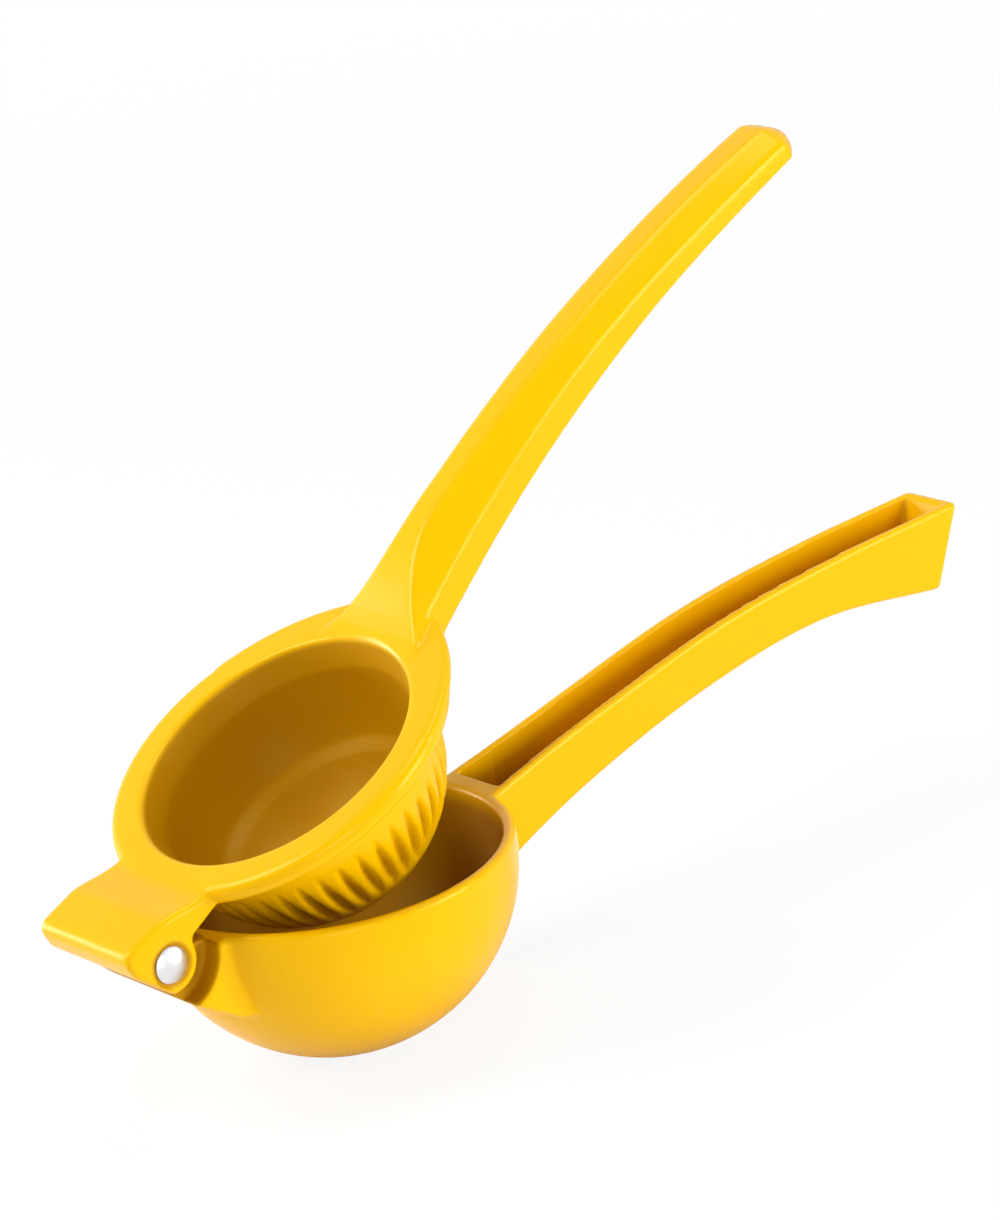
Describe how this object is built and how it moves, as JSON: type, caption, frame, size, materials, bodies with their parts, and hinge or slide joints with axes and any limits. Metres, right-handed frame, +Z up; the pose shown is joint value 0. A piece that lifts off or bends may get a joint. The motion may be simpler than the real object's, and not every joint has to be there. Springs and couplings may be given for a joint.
{
  "type": "hinged lemon squeezer",
  "caption": "Hand-held hinged citrus press: perforated round bowl with a channel handle, and a fluted press cup with its own handle, joined by a riveted pin.",
  "frame": {"origin": "middle of the bowl's small flat foot, where the squeezer rests", "axes": "+X from the hinge towards the handles' ends, +Y along the hinge pin, +Z up out of the bowl's mouth"},
  "size_m": [0.2096, 0.07, 0.1355],
  "materials": {
    "yellow_enamel": "semi-gloss yellow enamel on cast aluminium",
    "rivet": "satin bare metal"
  },
  "bodies": {
    "bowl": {"bowl_arm": "yellow_enamel"},
    "press": {"press_arm": "yellow_enamel", "hinge_pin": "rivet"}
  },
  "joints": [
    {"name": "hinge", "type": "hinge", "parent": "bowl", "child": "press", "pos_m": [-0.0442, 0, 0.0354], "axis": [0, -1, 0], "range_deg": [-24, 56]}
  ]
}
